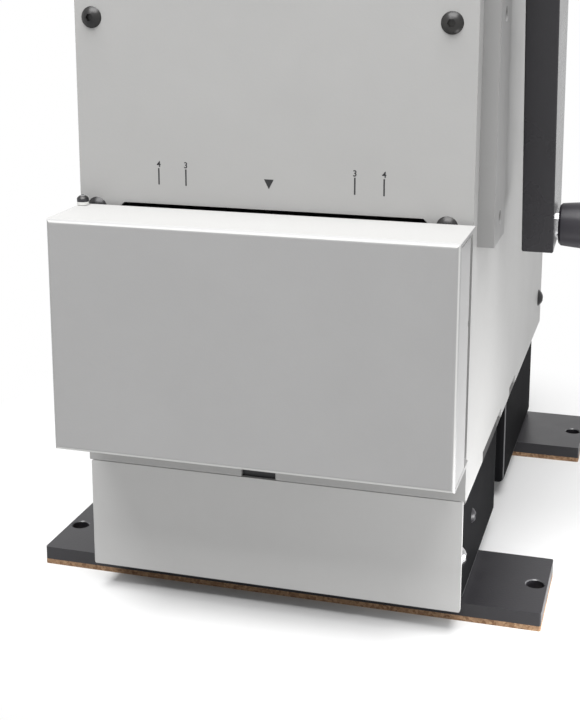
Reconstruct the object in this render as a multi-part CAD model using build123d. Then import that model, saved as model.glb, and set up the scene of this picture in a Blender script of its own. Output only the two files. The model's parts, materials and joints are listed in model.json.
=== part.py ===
from build123d import *
import os
from math import acos, atan2, cos, degrees, pi, radians, sin, sqrt, tan

# Hand-cranked hard drive crusher. A sheet steel cabinet stands on two risers and two foot
# bars, and holds a rack press: two thick side plates, a bed, a crosshead, and a toothed ram
# that a crank drives through one pair of gears. A pan-shaped guard door closes the mouth.
# Millimetres. +X is the crank side, +Y runs from the door to the back, +Z is up. The origin
# is on the bench, in the middle of the four holes of the feet.

# Foot bars and their cork
cork_thickness = 2.5
foot_thickness = 6.35
foot_width = 57.0
foot_corner = 1.0
foot_hole_radius = 4.25
foot_hole_out = 30.1
foot_hole_edge = 5.75
foot_hole_rim = 0.5

# Risers between the feet and the cabinet
riser_sheet = 3.0
riser_inset = 2.5
riser_height = 52.65
riser_return = 22.0
riser_bend = 3.3
riser_depth = 121.0

# Skirt that closes the front riser
skirt_sheet = 2.0
skirt_inset = 0.9
skirt_foot_gap = 3.5
skirt_lap = 3.3
skirt_seam = 0.3
skirt_return = 18.0
skirt_corner = 0.8
skirt_screw_back = 10.0
skirt_screw_share = 0.48

# Cabinet
cabinet_depth = 304.8
cabinet_front_to_holes = 44.5
cabinet_rear_to_holes = 49.3
cabinet_over_plates = 14.7
cabinet_beside_plates = 2.8
panel_sheet = 3.0
wrap_sheet = 2.0
wrap_bend = 3.0
front_return = 15.0
bottom_return = 20.0
cover_gap = 0.4
cover_inset = 3.0
cover_return = 24.0
floor_thickness = 4.8
floor_side_gap = 1.2
floor_rear_gap = 1.0

# Tabs of the floor plate and the slots that show them
front_tab_centre = -5.5
front_tab_width = 16.0
side_tab_back = 76.0
side_tab_length = 46.0
side_slot_back = 84.5
side_slot_length = 65.0
rear_slot_back = 162.0
rear_slot_length = 24.0
tab_clearance = 0.15

# Mouth in the front panel
mouth_inset = 1.6
mouth_height = 95.9
mouth_chamfer = 2.0

# Guard door
door_sheet = 1.6
door_left_inset = 1.9
door_right_over = 1.4
door_over_panel_bottom = 23.3
door_under_mouth_top = 1.1
door_depth = 36.4
door_panel_gap = 3.2
door_bend = 2.0
door_corner = 3.0
door_flange_gap = 12.3
door_seam = 0.5
door_left_cut = 10.0
door_nick = 1.2
door_nick_share = 0.63

# Hinge at the left rear edge of the door
hinge_in = 4.0
hinge_out = 6.4
hinge_leaf = 2.0
hinge_ear = 3.0
hinge_leaf_in = 6.9
hinge_leaf_width = 9.5
hinge_ear_radius = 2.1
hinge_ear_gap = 5.8
hinge_pin_radius = 1.2
hinge_head_radius = 2.65
hinge_head_height = 1.6
hinge_washer_height = 1.4
hinge_washers_outside = 2
hinge_screw_shares = (0.15, 0.5, 0.85)

# Magnet that holds the door shut by its lower flange
magnet_width = 13.0
magnet_height = 11.0
magnet_depth = 11.0
magnet_side_gap = 3.3
magnet_gap = 0.4

# Button screws: radius of the head, its height, radius and length of the shank
panel_screw = (4.75, 2.6, 2.5, 7.0)
side_screw = (5.25, 3.0, 3.0, 8.0)
skirt_screw = (4.75, 2.6, 2.5, 7.0)
riser_screw = (3.5, 1.9, 2.0, 6.0)
foot_screw = (5.25, 3.0, 3.0, 8.0)
leaf_screw = (2.6, 1.2, 1.25, 4.2)
panel_screw_out = 79.4
panel_screw_middle = -1.5
panel_screw_over_floor = 12.5
panel_screw_under_mouth_top = 3.1
panel_screw_under_top = 25.7
side_screw_from_rear = 15.8
side_screw_over_bottom = 22.0
side_screw_under_top = 21.0
riser_screw_back = 41.0
riser_screw_share = 0.61
foot_screw_inset = 12.0
foot_screw_offset = 15.0
screw_clearance = 0.25
thread_clearance = 0.02
socket_share = 0.5
socket_depth_share = 0.6

# Grey rail on the crank side
rail_thickness = 7.2
rail_front = 11.6
rail_width = 32.7
rail_under_mouth_top = 13.4
rail_top_margin = 10.0
rail_screw_end = 10.3
rail_screw_radius = 3.2
rail_screw_sink = 1.0
rail_screw_length = 7.5

# Press frame
plate_thickness = 12.7
plate_gap = 142.8
plate_front = 12.0
plate_past_bed = 50.0
plate_over_crank = 44.3
plate_corner = 12.0
bed_thickness = 25.4
bed_depth = 163.0
crosshead_over_mouth = 1.4
crosshead_thickness = 15.0
crosshead_front = 30.0
crosshead_back = 165.0
stop_from_bed_end = 2.3
stop_thickness = 12.7
stop_height = 50.0
tie_size = 25.0
tie_under_plate_top = 3.3
front_tie_inset = 2.0
rear_tie_inset = 10.0
seat_clearance = 0.02

# Cap screws of the press frame: radius and height of the head, radius and reach of the shank
frame_bolt = (6.5, 8.0, 4.0, 34.0)
base_bolt = (5.0, 6.0, 3.0, 30.0)
guide_bolt = (5.0, 6.0, 3.0, 17.0)
base_bolt_front_insets = (50.0, 92.0)
base_bolt_rear_insets = (28.0, 12.0)

# Insert that holds a drive of the chosen height
insert_side_gap = 7.9
insert_sheet = 3.0
insert_rail_width = 23.5
insert_rail_height = 12.0
insert_clearance = 0.3
die_radius = 17.0
die_depth = 12.0

# Crank, gears and ram
crank_back = 75.0
output_over_crosshead = 71.0
crank_radius = 152.4
crank_tilt = 8.0
shaft_radius = 9.5
shaft_end_radius = 7.9
gear_module = 2.0
crank_teeth = 15
gear_teeth = 60
gear_line_fall = 36.87
rack_module = 2.5
rack_teeth = 14
pressure_angle = 25.0
tooth_backlash = 0.25
addendum_share = 0.8
dedendum_share = 1.0
flank_steps = 4
output_radius = 10.0
output_shoulder = 13.0
ram_half_width = 15.0
ram_depth = 24.8
ram_stroke = 60.0
ram_over_crosshead_bottom = 6.0
ram_top_over_output = 75.0
ram_clearance = 0.06
rack_below_output = 20.0
punch_length = 29.0
punch_radius = 12.0
punch_tip_radius = 1.5
punch_cone_share = 0.69
punch_spigot_radius = 6.0
punch_spigot_length = 20.0
set_screw_radius = 2.5

# Guide block around the ram
guide_wall = 12.0
guide_flange = 10.0
guide_flange_reach = 14.0
guide_collar_gap = 2.0

# Pieces along the two shafts
pinion_lead = 1.0
pinion_lag = 2.0
pinion_hub_radius = 14.0
gear_bush_gap = 9.4
gear_face = 14.0
gear_guide_gap = 1.0
gear_hub_radius = 20.0
gear_rim = 7.0
gear_web_recess = 3.5
gear_web_holes = 6
gear_web_hole_radius = 9.0
rack_pinion_half = 14.0
bush_wall = 3.5
bush_flange = 2.0
bush_flange_radius = 17.0
end_gap = 0.2
running_clearance = 0.05
collar_radius = 16.0
collar_width = 10.0
spacer_radius = 14.0
wall_hole_gap = 2.0
key_width = 5.0
key_share = 0.5
output_key_start = 3.0

# Crank arm and its grip
arm_rail_gap = 4.1
arm_thickness = 14.8
arm_hub_radius = 24.0
arm_end_half_width = 17.5
arm_end_margin = 8.5
arm_edge = 0.5
arm_cap_radius = 13.0
arm_cap_thickness = 3.0
arm_screw_radius = 4.0
arm_screw_head_radius = 6.5
arm_screw_head = 5.0
arm_screw_length = 22.0
grip_length = 92.6
grip_inner_radius = 10.2
grip_belly_radius = 12.6
grip_end_radius = 10.4
grip_belly_share = 0.55
grip_edge = 1.1
grip_bolt_radius = 5.0
grip_bolt_stud_radius = 4.0
grip_bolt_head_radius = 7.0
grip_bolt_head = 5.0
grip_washer_radius = 7.6
grip_washer_thickness = 0.9
grip_bore_clearance = 0.08

# Places worked out from the sizes above
overrun = 1.0
quarter = 90.0
half_turn = 180.0
full_turn = 360.0

foot_row_spacing = cabinet_depth - cabinet_front_to_holes - cabinet_rear_to_holes
panel_front = -(foot_row_spacing / 2 + cabinet_front_to_holes)


def back(distance):
    """The Y of a place this far behind the panel's front face."""
    return panel_front + distance


def evenly(low, high):
    """Two ends and their middle."""
    return (low, (low + high) / 2, high)


# Across, from the middle out
plate_inner = plate_gap / 2
plate_outer = plate_inner + plate_thickness
wall_inside = plate_outer + cabinet_beside_plates
wall = wall_inside + wrap_sheet
riser_half_width = wall - riser_inset
skirt_half_width = wall - skirt_inset
foot_hole_spacing = 2 * (riser_half_width + foot_hole_out)
foot_length = foot_hole_spacing + 2 * foot_hole_edge
mouth_half_width = plate_inner - mouth_inset
insert_half_width = plate_inner - insert_side_gap
bush_inner = plate_inner - bush_flange
shaft_inner_end = bush_inner - end_gap
gear_right = bush_inner - gear_bush_gap
gear_left = gear_right - gear_face
gear_hub_left = ram_half_width + guide_wall + gear_guide_gap
pinion_left = gear_left - pinion_lead
pinion_right = gear_right + pinion_lag
base_bolt_x = plate_inner + plate_thickness / 2
door_left = -(wall - door_left_inset)
door_right = wall + door_right_over
arm_inner = wall + rail_thickness + arm_rail_gap
arm_outer = arm_inner + arm_thickness
hinge_x = -(wall - hinge_in)
hinge_leaf_left = -(wall - hinge_leaf_in)
hinge_leaf_right = hinge_leaf_left + hinge_leaf_width
hinge_screw_x = (hinge_leaf_left + hinge_leaf_right) / 2

# Front to back
plate_back = plate_front + bed_depth + plate_past_bed
stop_front = plate_front + bed_depth - stop_from_bed_end - stop_thickness
front_tie_front = plate_front + front_tie_inset
rear_tie_front = plate_back - rear_tie_inset - tie_size
side_screw_back = cabinet_depth - side_screw_from_rear
base_bolt_backs = [plate_front + inset for inset in base_bolt_front_insets]
base_bolt_backs += [plate_back - inset for inset in base_bolt_rear_insets]
front_riser_front = back(skirt_sheet)
front_riser_back = front_riser_front + riser_depth
rear_riser_back = foot_row_spacing / 2 + foot_width / 2 - foot_corner
rear_riser_front = rear_riser_back - riser_depth
door_back = panel_front - door_panel_gap
door_front = door_back - door_depth
hinge_y = panel_front - hinge_out
gear_distance = gear_module * (crank_teeth + gear_teeth) / 2
crank_y = back(crank_back)
output_y = crank_y + gear_distance * cos(radians(gear_line_fall))
rack_radius = rack_module * rack_teeth / 2
rack_pitch_y = output_y - rack_radius
ram_back = rack_pitch_y + addendum_share * rack_module
ram_front = ram_back - ram_depth
ram_y = (ram_back + ram_front) / 2

# Bottom to top
foot_top = cork_thickness + foot_thickness
riser_top = foot_top + riser_height
skirt_bottom = foot_top + skirt_foot_gap
floor_bottom = riser_top + wrap_sheet
floor_top = floor_bottom + floor_thickness
bed_top = floor_top + bed_thickness
mouth_top = bed_top + mouth_height
door_top = mouth_top - door_under_mouth_top
door_bottom = riser_top + door_over_panel_bottom
door_height = door_top - door_bottom
crosshead_bottom = mouth_top + crosshead_over_mouth
crosshead_top = crosshead_bottom + crosshead_thickness
ram_bottom = crosshead_bottom + ram_over_crosshead_bottom
punch_tip_height = ram_bottom - punch_length
output_z = crosshead_top + output_over_crosshead
crank_height = output_z + gear_distance * sin(radians(gear_line_fall))
ram_top = output_z + ram_top_over_output
guide_top = output_z - rack_radius - 2 * rack_module * dedendum_share - overrun
plate_top = crank_height + plate_over_crank
tie_bottom = plate_top - tie_under_plate_top - tie_size
cabinet_top = plate_top + cabinet_over_plates
skirt_screw_height = foot_top + riser_height * skirt_screw_share
riser_screw_height = foot_top + riser_height * riser_screw_share
panel_screw_heights = [floor_bottom + panel_screw_over_floor]
panel_screw_heights += evenly(mouth_top - panel_screw_under_mouth_top, cabinet_top - panel_screw_under_top)
side_screw_heights = evenly(riser_top + side_screw_over_bottom, cabinet_top - side_screw_under_top)
rail_bottom = mouth_top - rail_under_mouth_top
rail_top = cabinet_top - rail_top_margin
rail_screw_heights = evenly(rail_bottom + rail_screw_end, rail_top - rail_screw_end)
hinge_screw_heights = [door_bottom + door_height * share for share in hinge_screw_shares]
door_nick_height = door_bottom + door_height * door_nick_share
sides = (-1, 1)

nodes = {}


def block(x, y, z):
    """A box from the low and high ends of its three sides."""
    middle = ((x[0] + x[1]) / 2, (y[0] + y[1]) / 2, (z[0] + z[1]) / 2)
    return Pos(*middle) * Box(x[1] - x[0], y[1] - y[0], z[1] - z[0])


def rod_x(x, y, z, radius):
    """A cylinder along X between the two values of x."""
    middle = (x[0] + x[1]) / 2
    return Pos(middle, y, z) * Rot(0, quarter, 0) * Cylinder(radius, x[1] - x[0])


def rod_y(x, y, z, radius):
    """A cylinder along Y between the two values of y."""
    middle = (y[0] + y[1]) / 2
    return Pos(x, middle, z) * Rot(quarter, 0, 0) * Cylinder(radius, y[1] - y[0])


def rod_z(x, y, z, radius):
    """A cylinder along Z between the two values of z."""
    middle = (z[0] + z[1]) / 2
    return Pos(x, y, middle) * Cylinder(radius, z[1] - z[0])


def side_pair(side, near, far):
    """The low and high X of something from near to far on one side."""
    return tuple(sorted((side * near, side * far)))


def add(name, *solids):
    """Keep a node: one solid, or a group of separate ones."""
    nodes[name] = solids[0] if len(solids) == 1 else Compound(children=list(solids))


def button_screw(sizes):
    """A button head screw that points down from z = 0, with a hex socket in its head."""
    head_radius, head_height, shank_radius, shank_length = sizes
    dome = (head_radius**2 + head_height**2) / (2 * head_height)
    head = Pos(0, 0, head_height - dome) * Sphere(dome)
    head &= rod_z(0, 0, (0, head_height), head_radius)
    socket_radius = shank_radius * socket_share * sqrt(2)
    socket_depth = head_height * socket_depth_share
    socket = extrude(RegularPolygon(socket_radius, 6), socket_depth)
    head -= Pos(0, 0, head_height - socket_depth) * socket
    return head + rod_z(0, 0, (-shank_length, 0), shank_radius)


def cap_screw(sizes):
    """A socket head cap screw that points down from z = 0, with its head above."""
    head_radius, head_height, shank_radius, shank_length = sizes
    socket_depth = head_height * socket_depth_share
    head = rod_z(0, 0, (0, head_height), head_radius)
    socket = extrude(RegularPolygon(head_radius * socket_share, 6), socket_depth)
    head -= Pos(0, 0, head_height - socket_depth) * socket
    return head + rod_z(0, 0, (-shank_length, 0), shank_radius)


def facing(side, x, y, z, piece):
    """Turn a piece made along +Z to point out along X on the given side."""
    return Pos(side * x, y, z) * Rot(0, side * quarter, 0) * piece


def facing_front(x, y, z, piece):
    """Turn a piece made along +Z to point out along -Y."""
    return Pos(x, y, z) * Rot(quarter, 0, 0) * piece


# Feet
foot_rows = {"front": -foot_row_spacing / 2, "rear": foot_row_spacing / 2}
riser_spans = {
    "front": (front_riser_front, front_riser_back),
    "rear": (rear_riser_front, rear_riser_back),
}


def foot_screw_places(row):
    """The four screws that hold one riser to its foot bar."""
    x = riser_half_width - riser_sheet - foot_screw_inset
    y = foot_rows[row]
    return [(side * x, y + end * foot_screw_offset) for side in sides for end in sides]


def foot_layer(row, z):
    """One layer of a foot, as wide and long as the bar, with its two bench holes."""
    y = foot_rows[row]
    half = foot_length / 2
    layer = block((-half, half), (y - foot_width / 2, y + foot_width / 2), z)
    layer = fillet(layer.edges().filter_by(Axis.Z), foot_corner)
    for side in sides:
        layer -= rod_z(side * foot_hole_spacing / 2, y, z, foot_hole_radius)
    return layer


def make_feet():
    for row in foot_rows:
        bar = foot_layer(row, (cork_thickness, foot_top))
        for x, y in foot_screw_places(row):
            hole = foot_screw[2] + thread_clearance
            bar -= rod_z(x, y, (cork_thickness, foot_top), hole)
        for side in sides:
            rim = Cone(foot_hole_radius, foot_hole_radius + foot_hole_rim, foot_hole_rim)
            bar -= Pos(side * foot_hole_spacing / 2, foot_rows[row], foot_top - foot_hole_rim / 2) * rim
        add("foot_bar_" + row, bar)
        add("cork_pad_" + row, foot_layer(row, (0, cork_thickness)))
    shank = foot_screw[:3] + (riser_sheet + foot_thickness - screw_clearance,)
    screws = []
    for row in foot_rows:
        for x, y in foot_screw_places(row):
            screws.append(Pos(x, y, foot_top + riser_sheet) * button_screw(shank))
    add("foot_screws", *screws)


# Risers and skirt
def riser(row, web_at_back):
    """A bent channel: a web across, two sides, and returns at the foot and at the top."""
    front, rear = riser_spans[row]
    z = (foot_top, riser_top)
    shell = block((-riser_half_width, riser_half_width), (front, rear), z)
    web_edges = shell.edges().filter_by(Axis.Z).group_by(Axis.Y)
    foot_edges = shell.edges().filter_by(Axis.Y).group_by(Axis.Z)[0]
    shell = fillet((web_edges[-1] if web_at_back else web_edges[0]) + foot_edges, riser_bend)
    inside_y = (front - overrun, rear - riser_sheet)
    if not web_at_back:
        inside_y = (front + riser_sheet, rear + overrun)
    inside_half = riser_half_width - riser_sheet
    inside_z = (foot_top + riser_sheet, riser_top - riser_sheet)
    cavity = block((-inside_half, inside_half), inside_y, inside_z)
    cavity_edges = cavity.edges().filter_by(Axis.Z).group_by(Axis.Y)
    cavity = fillet(cavity_edges[-1] if web_at_back else cavity_edges[0], riser_bend - riser_sheet)
    window_half = inside_half - riser_return
    window = block((-window_half, window_half), inside_y, (foot_top - overrun, riser_top + overrun))
    return shell - cavity - window


def make_risers():
    rows = foot_rows
    screw_hole = riser_screw[2] + thread_clearance
    skirt_hole = skirt_screw[2] + screw_clearance
    base_hole = base_bolt[2] + screw_clearance
    for row in rows:
        shell = riser(row, row == "front")
        if row == "front":
            toe_y = (front_riser_front - overrun, foot_rows[row] - foot_width / 2)
            shell -= block((-wall, wall), toe_y, (foot_top - overrun, skirt_bottom))
        for x, y in foot_screw_places(row):
            span = (foot_top - overrun, foot_top + riser_sheet + overrun)
            shell -= rod_z(x, y, span, foot_screw[2] + screw_clearance)
        for side in sides:
            for distance in base_bolt_backs:
                span = (riser_top - riser_sheet - overrun, riser_top + overrun)
                shell -= rod_z(side * base_bolt_x, back(distance), span, base_hole)
            across = side_pair(side, riser_half_width - riser_sheet - overrun, wall)
            if row == "front":
                y = back(skirt_screw_back)
                shell -= rod_x(across, y, skirt_screw_height, skirt_hole)
                shell -= rod_x(across, back(riser_screw_back), riser_screw_height, screw_hole)
        add(row + "_riser", shell)
    plugs = [
        facing(side, riser_half_width, back(riser_screw_back), riser_screw_height, button_screw(riser_screw))
        for side in sides
    ]
    add("riser_side_screws", *plugs)


def make_skirt():
    half = skirt_half_width
    inner = riser_half_width - riser_sheet - seat_clearance
    plate = block((-half, half), (panel_front, back(skirt_sheet)), (skirt_bottom, riser_top + skirt_lap))
    plate = fillet(plate.edges().filter_by(Axis.Y), skirt_corner)
    return_z = (skirt_bottom, riser_top - riser_sheet - end_gap)
    hole = skirt_screw[2] + thread_clearance
    for side in sides:
        across = side_pair(side, inner - skirt_sheet, inner)
        plate += block(across, (panel_front, back(skirt_return)), return_z)
    for side in sides:
        across = side_pair(side, inner - skirt_sheet - overrun, inner + overrun)
        plate -= rod_x(across, back(skirt_screw_back), skirt_screw_height, hole)
    add("front_skirt", plate)
    screws = [
        facing(side, riser_half_width, back(skirt_screw_back), skirt_screw_height, button_screw(skirt_screw))
        for side in sides
    ]
    add("skirt_screws", *screws)


# Cabinet sheets
def floor_slots():
    """The cuts in the cabinet's sheets at the height of the floor plate."""
    z = (floor_bottom - tab_clearance, floor_top + tab_clearance)
    half = front_tab_width / 2 + tab_clearance
    middle = front_tab_centre
    cuts = [block((middle - half, middle + half), (panel_front - overrun, back(panel_sheet + wrap_sheet)), z)]
    for side in sides:
        across = side_pair(side, wall_inside - overrun, wall + overrun)
        for middle_back, length in ((side_slot_back, side_slot_length), (rear_slot_back, rear_slot_length)):
            ends = (back(middle_back) - length / 2, back(middle_back) + length / 2)
            cuts.append(block(across, ends, z))
    return cuts


def make_wrap():
    y = (back(panel_sheet), back(cabinet_depth))
    shell = block((-wall, wall), y, (riser_top, cabinet_top))
    top_edges = shell.edges().filter_by(Axis.Y).group_by(Axis.Z)[-1]
    bottom_edges = shell.edges().filter_by(Axis.Y).group_by(Axis.Z)[0]
    shell = fillet(top_edges + bottom_edges, wrap_bend)
    inside = block(
        (-wall_inside, wall_inside),
        (y[0] + wrap_sheet, y[1] + overrun),
        (riser_top + wrap_sheet, cabinet_top - wrap_sheet),
    )
    inside = fillet(inside.edges().filter_by(Axis.Y), wrap_bend - wrap_sheet)
    shell -= inside
    frame_half = wall_inside - front_return
    shell -= block(
        (-frame_half, frame_half),
        (y[0] - overrun, y[0] + wrap_sheet + overrun),
        (riser_top - overrun, cabinet_top - wrap_sheet - front_return),
    )
    bottom_half = wall_inside - bottom_return
    shell -= block(
        (-bottom_half, bottom_half), (y[0] - overrun, y[1] + overrun), (riser_top - overrun, floor_bottom + overrun)
    )
    for cut in floor_slots():
        shell -= cut
    for x, z in panel_screw_places():
        shell -= rod_y(x, (y[0] - overrun, y[0] + wrap_sheet + overrun), z, panel_screw[2] + thread_clearance)
    for side in sides:
        across = side_pair(side, wall_inside - overrun, wall + overrun)
        for z in side_screw_heights:
            shell -= rod_x(across, back(side_screw_back), z, side_screw[2] + screw_clearance)
        for distance in base_bolt_backs:
            hole = base_bolt[2] + screw_clearance
            span = (riser_top - overrun, floor_bottom + overrun)
            shell -= rod_z(side * base_bolt_x, back(distance), span, hole)
    right = (wall_inside - overrun, wall + overrun)
    for z in rail_screw_heights:
        shell -= rod_x(right, back(rail_front + rail_width / 2), z, rail_screw_radius / 2 + thread_clearance)
    shell -= rod_x(right, crank_y, crank_height, spacer_radius + wall_hole_gap)
    add("cabinet_wrap", shell)


def panel_screw_places():
    places = [panel_screw_middle + side * panel_screw_out for side in sides]
    return [(x, z) for x in places for z in panel_screw_heights]


def make_front_panel():
    y = (panel_front, back(panel_sheet))
    panel = block((-wall, wall), y, (riser_top + skirt_lap + skirt_seam, cabinet_top))
    cut_y = (y[0] - overrun, y[1] + overrun)
    mouth = block((-mouth_half_width, mouth_half_width), cut_y, (bed_top, mouth_top))
    mouth = chamfer(mouth.edges().filter_by(Axis.Y).group_by(Axis.Z)[-1], mouth_chamfer)
    panel -= mouth
    for x, z in panel_screw_places():
        panel -= rod_y(x, cut_y, z, panel_screw[2] + screw_clearance)
    for z in hinge_screw_heights:
        panel -= rod_y(hinge_screw_x, cut_y, z, leaf_screw[2] + thread_clearance)
    panel -= floor_slots()[0]
    add("front_panel", panel)
    screws = [facing_front(x, panel_front, z, button_screw(panel_screw)) for x, z in panel_screw_places()]
    add("panel_screws", *screws)


def make_rear_cover():
    half = wall_inside - cover_gap
    y = (back(cabinet_depth - cover_inset - cover_return), back(cabinet_depth - cover_inset))
    z = (floor_bottom + cover_gap, cabinet_top - wrap_sheet - cover_gap)
    cover = block((-half, half), y, z)
    cover = fillet(cover.edges().filter_by(Axis.Z).group_by(Axis.Y)[-1], wrap_bend)
    inside = block(
        (wrap_sheet - half, half - wrap_sheet), (y[0] - overrun, y[1] - wrap_sheet), (z[0] - overrun, z[1] + overrun)
    )
    cover -= fillet(inside.edges().filter_by(Axis.Z).group_by(Axis.Y)[-1], wrap_bend - wrap_sheet)
    for side in sides:
        across = side_pair(side, half - wrap_sheet - overrun, half + overrun)
        for height in side_screw_heights:
            cover -= rod_x(across, back(side_screw_back), height, side_screw[2] + thread_clearance)
    add("rear_cover", cover)
    screws = [
        facing(side, wall, back(side_screw_back), z, button_screw(side_screw))
        for side in sides
        for z in side_screw_heights
    ]
    add("side_screws", *screws)


def make_floor():
    half = wall_inside - floor_side_gap
    rear = back(cabinet_depth - cover_inset - cover_return - floor_rear_gap)
    y = (back(panel_sheet + wrap_sheet + tab_clearance), rear)
    plate = block((-half, half), y, (floor_bottom, floor_top))
    tab = front_tab_width / 2
    tab_x = (front_tab_centre - tab, front_tab_centre + tab)
    plate += block(tab_x, (back(skirt_sheet + skirt_seam), y[0] + overrun), (floor_bottom, floor_top))
    length = side_tab_length / 2
    ends = (back(side_tab_back) - length, back(side_tab_back) + length)
    plate += block((-wall, wall), ends, (floor_bottom, floor_top))
    for side in sides:
        for distance in base_bolt_backs:
            hole = base_bolt[2] + screw_clearance
            plate -= rod_z(side * base_bolt_x, back(distance), (floor_bottom, floor_top), hole)
    add("floor_plate", plate)
    bolts = []
    for side in sides:
        for distance in base_bolt_backs:
            turned = Rot(half_turn, 0, 0) * cap_screw(base_bolt)
            bolts.append(Pos(side * base_bolt_x, back(distance), riser_top - riser_sheet) * turned)
    add("base_bolts", *bolts)


def make_rail():
    x = (wall, wall + rail_thickness)
    y = (back(rail_front), back(rail_front + rail_width))
    middle = (y[0] + y[1]) / 2
    rail = block(x, y, (rail_bottom, rail_top))
    head = rail_screw_radius
    seat = x[1] - rail_screw_sink - head
    for z in rail_screw_heights:
        rail -= rod_x((seat, x[1] + overrun), middle, z, head + screw_clearance)
        rail -= rod_x((x[0] - overrun, x[1]), middle, z, head / 2 + screw_clearance)
    add("side_rail", rail)
    sizes = (head, head, head / 2, rail_screw_length)
    add("rail_screws", *[facing(1, seat, middle, z, cap_screw(sizes)) for z in rail_screw_heights])


# Guard door and its hinge
def make_door():
    z = (door_bottom, door_top)
    shell = block((door_left, door_right), (door_front, door_back), z)
    rear_left = shell.edges().filter_by(Axis.Z).sort_by(Axis.X)[:2].sort_by(Axis.Y)[-1]
    shell = fillet(rear_left, door_corner)
    front_face = shell.faces().sort_by(Axis.Y)[0]
    shell = fillet(front_face.edges(), door_bend)
    shell -= block(
        (door_left + door_sheet, door_right - door_sheet),
        (door_front + door_sheet, door_back + overrun),
        (z[0] + door_sheet, z[1] - door_sheet),
    )
    between = (z[0] + door_sheet, z[1] - door_sheet)
    left_end = hinge_y - hinge_ear_radius - door_left_cut / 2
    left_side = (door_left - overrun, door_left + door_sheet + overrun)
    right_side = (door_right - door_sheet - overrun, door_right + overrun)
    shell -= block(left_side, (left_end, door_back + overrun), between)
    right_end = door_back - door_flange_gap
    shell -= block(right_side, (right_end, door_back + overrun), between)
    shell -= block(
        right_side,
        (right_end - door_nick, right_end + overrun),
        (door_nick_height - door_nick, door_nick_height + door_nick),
    )
    lower = (z[0] - overrun, z[0] + door_sheet + overrun)
    upper = (z[1] - door_sheet - overrun, z[1] + overrun)
    square = (door_right - door_corner, door_right + overrun)
    round_off = block(square, (door_back - door_corner, door_back + overrun), lower)
    shell -= round_off - rod_z(square[0], door_back - door_corner, lower, door_corner)
    for across in (left_side, right_side):
        for seam in ((between[0], between[0] + door_seam), (between[1] - door_seam, between[1])):
            shell -= block(across, (door_front + door_bend, door_back), seam)
    for ends in (lower, upper):
        shell -= rod_z(hinge_x, hinge_y, ends, hinge_pin_radius + running_clearance)
    add("door_guard", shell)


def hinge_ear_spans():
    """The heights of the two ears, just inside the door's flanges."""
    low = door_bottom + door_sheet + hinge_ear_gap
    high = door_top - door_sheet - hinge_ear_gap
    return ((low, low + hinge_ear), (high - hinge_ear, high))


def make_hinge():
    ears = hinge_ear_spans()
    leaf_y = (panel_front - hinge_leaf, panel_front)
    bracket = block((hinge_leaf_left, hinge_leaf_right), leaf_y, (ears[0][0], ears[1][1]))
    hole = hinge_pin_radius + thread_clearance
    for ear in ears:
        bracket += block((hinge_x - hinge_ear_radius, hinge_leaf_right), leaf_y, ear)
        bracket += block((hinge_x - hinge_ear_radius, hinge_x + hinge_ear_radius), (hinge_y, leaf_y[1]), ear)
        bracket += rod_z(hinge_x, hinge_y, ear, hinge_ear_radius)
    for ear in ears:
        bracket -= rod_z(hinge_x, hinge_y, (ear[0] - overrun, ear[1] + overrun), hole)
    for z in hinge_screw_heights:
        across = (leaf_y[0] - overrun, leaf_y[1] + overrun)
        bracket -= rod_y(hinge_screw_x, across, z, leaf_screw[2] + screw_clearance)
    add("hinge_bracket", bracket)
    screws = [facing_front(hinge_screw_x, leaf_y[0], z, button_screw(leaf_screw)) for z in hinge_screw_heights]
    add("hinge_leaf_screws", *screws)
    washers = []
    pins = []
    for door_face, ear, up in ((door_top, ears[1], 1), (door_bottom, ears[0][::-1], -1)):
        over = door_face + up * (end_gap + hinge_washers_outside * hinge_washer_height)
        inner = door_face - up * (door_sheet + end_gap)
        spans = [(ear[1], inner)]
        for step in range(hinge_washers_outside):
            start = over - up * step * hinge_washer_height
            spans.append((start - up * (hinge_washer_height - seat_clearance), start))
        for span in spans:
            washer = rod_z(hinge_x, hinge_y, sorted(span), hinge_head_radius)
            low, high = sorted(span)
            washer -= rod_z(hinge_x, hinge_y, (low - overrun, high + overrun), hole)
            washers.append(washer)
        sizes = (hinge_head_radius, hinge_head_height, hinge_pin_radius, abs(over - ear[0]))
        turn = Rot(0 if up > 0 else half_turn, 0, 0)
        pins.append(Pos(hinge_x, hinge_y, over) * turn * button_screw(sizes))
    add("hinge_washers", *washers)
    add("hinge_pins", *pins)


def make_magnet():
    bottom = door_bottom + door_sheet + magnet_gap
    right = wall - door_sheet - magnet_side_gap
    body = block(
        (right - magnet_width, right),
        (panel_front - magnet_depth, panel_front),
        (bottom, bottom + magnet_height),
    )
    body = chamfer(body.faces().sort_by(Axis.Y)[0].edges(), magnet_gap)
    add("catch_magnet", body)


# Press frame
def frame_bolt_places():
    """Where cap screws pass the side plates: distance back and height."""
    tie_middle = tie_size / 2
    bed_middle = floor_top + bed_thickness / 2
    head_middle = crosshead_bottom + crosshead_thickness / 2
    bed_ends = (plate_front + tie_size, plate_front + bed_depth - tie_size)
    head_ends = (crosshead_front + tie_middle, crosshead_back - tie_middle)
    places = [(distance, bed_middle) for distance in bed_ends]
    places += [(distance, head_middle) for distance in head_ends]
    places += [(start + tie_middle, tie_bottom + tie_middle) for start in (front_tie_front, rear_tie_front)]
    places.append((stop_front + stop_thickness / 2, bed_top + stop_height - tie_middle))
    return places


def bored_for_frame(piece):
    """Cut the threaded holes of the frame's cap screws in a cross piece."""
    reach = plate_outer - frame_bolt[1] - frame_bolt[3]
    for side in sides:
        for distance, z in frame_bolt_places():
            across = side_pair(side, reach - overrun, plate_inner + overrun)
            piece -= rod_x(across, back(distance), z, frame_bolt[2] + thread_clearance)
    return piece


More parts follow.
